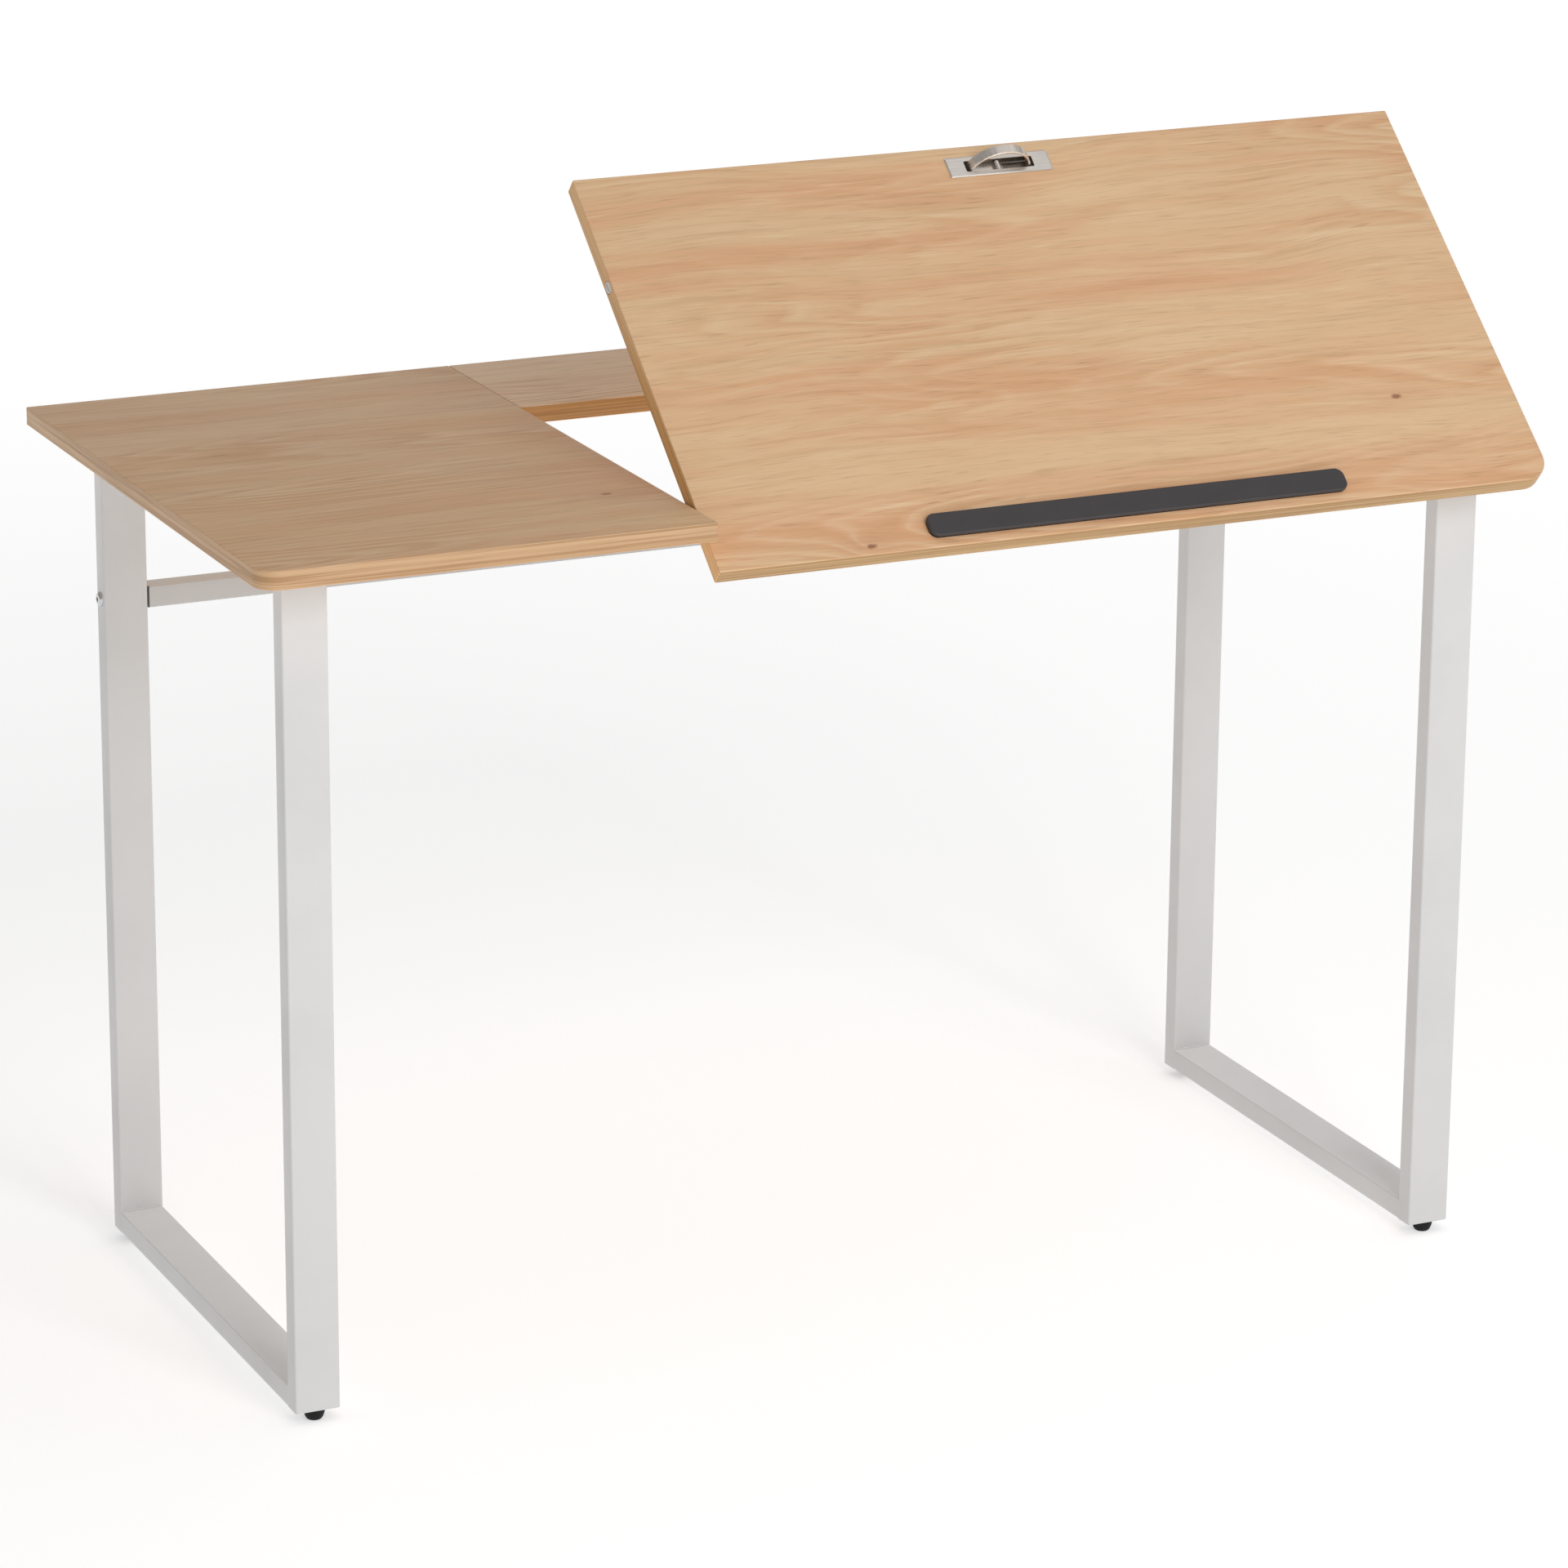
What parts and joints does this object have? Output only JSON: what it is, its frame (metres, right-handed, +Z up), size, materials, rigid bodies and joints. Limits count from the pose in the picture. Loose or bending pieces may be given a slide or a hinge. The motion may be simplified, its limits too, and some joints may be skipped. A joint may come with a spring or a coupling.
{
  "type": "drafting table",
  "caption": "Drafting table with a fixed left worktop and rear strip, a wooden board that tilts on front hinges, a paper ledge, a flip handle and two white steel side frames.",
  "frame": {"origin": "on the floor, under the middle of the table's footprint", "axes": "+X along the table's length, to the user's right; +Y from the user towards the back; +Z up"},
  "size_m": [1.2, 0.6, 0.9956],
  "materials": {
    "oak": "satin oak-grain laminate",
    "oak_strip": "satin oak-grain laminate",
    "white_powder_coat": "fine powder coat",
    "zinc": "bright zinc plate",
    "satin_nickel": "brushed satin nickel",
    "black_plastic": "moulded",
    "charcoal_plastic": "moulded, fine texture",
    "pale_plastic": "moulded",
    "foot_rubber": "matte"
  },
  "bodies": {
    "frame": {"front_rail": "white_powder_coat", "left_bottom_bar": "white_powder_coat", "left_carrier_rail": "white_powder_coat", "left_clamp_bolt": "zinc", "left_clamp_plate": "white_powder_coat", "left_clamp_screw_front": "zinc", "left_clamp_screw_rear": "zinc", "left_clamp_washer": "zinc", "left_front_foot_insert": "black_plastic", "left_front_leg": "white_powder_coat", "left_hinge_pin": "zinc", "left_hinge_rail_leaf": "zinc", "left_panel": "oak", "left_rear_foot_insert": "black_plastic", "left_rear_leg": "white_powder_coat", "left_stretcher_bolt": "zinc", "left_stretcher_nut": "zinc", "left_top_bar": "white_powder_coat", "middle_bar": "white_powder_coat", "middle_hinge_pin": "zinc", "middle_hinge_rail_leaf": "zinc", "rear_rail": "white_powder_coat", "rear_strip_panel": "oak_strip", "right_bottom_bar": "white_powder_coat", "right_carrier_rail": "white_powder_coat", "right_clamp_bolt": "zinc", "right_clamp_plate": "white_powder_coat", "right_clamp_screw_front": "zinc", "right_clamp_screw_rear": "zinc", "right_clamp_washer": "zinc", "right_front_foot_insert": "black_plastic", "right_front_leg": "white_powder_coat", "right_hinge_pin": "zinc", "right_hinge_rail_leaf": "zinc", "right_rear_foot_insert": "black_plastic", "right_rear_leg": "white_powder_coat", "right_stretcher_bolt": "zinc", "right_stretcher_nut": "zinc", "right_top_bar": "white_powder_coat", "stretcher": "white_powder_coat"},
    "board": {"tilt_board": "oak", "ledge": "charcoal_plastic", "edge_cap": "pale_plastic", "handle_case": "satin_nickel", "handle_pin": "satin_nickel", "left_stay": "zinc", "right_stay": "zinc", "left_hinge_board_leaf": "zinc", "middle_hinge_board_leaf": "zinc", "right_hinge_board_leaf": "zinc"},
    "handle_bail": {"handle_bail": "satin_nickel"},
    "left_knob": {"left_knob": "black_plastic"},
    "right_knob": {"right_knob": "black_plastic"},
    "left_front_foot": {"left_front_foot": "foot_rubber"},
    "left_rear_foot": {"left_rear_foot": "foot_rubber"},
    "right_front_foot": {"right_front_foot": "foot_rubber"},
    "right_rear_foot": {"right_rear_foot": "foot_rubber"}
  },
  "joints": [
    {"name": "board_tilt", "type": "hinge", "parent": "frame", "child": "board", "pos_m": [0.2, -0.2392, 0.745], "axis": [1, 0, 0], "range_deg": [-40.8, 9.2]},
    {"name": "bail_flip", "type": "hinge", "parent": "board", "child": "handle_bail", "pos_m": [0.2, -0.00069, 0.9728], "axis": [0, 0.757, 0.6534], "range_deg": [0, 180]},
    {"name": "left_knob_turn", "type": "hinge", "parent": "frame", "child": "left_knob", "pos_m": [0.025, -0.05105, 0.71856], "axis": [1, 0, 0], "range_deg": [0, 360]},
    {"name": "right_knob_turn", "type": "hinge", "parent": "frame", "child": "right_knob", "pos_m": [0.375, -0.05105, 0.71856], "axis": [-1, 0, 0], "range_deg": [0, 360]},
    {"name": "left_front_foot_height", "type": "slide", "parent": "frame", "child": "left_front_foot", "axis": [0, 0, -1], "range_m": [0, 0.008]},
    {"name": "left_rear_foot_height", "type": "slide", "parent": "frame", "child": "left_rear_foot", "axis": [0, 0, -1], "range_m": [0, 0.008]},
    {"name": "right_front_foot_height", "type": "slide", "parent": "frame", "child": "right_front_foot", "axis": [0, 0, -1], "range_m": [0, 0.008]},
    {"name": "right_rear_foot_height", "type": "slide", "parent": "frame", "child": "right_rear_foot", "axis": [0, 0, -1], "range_m": [0, 0.008]}
  ]
}
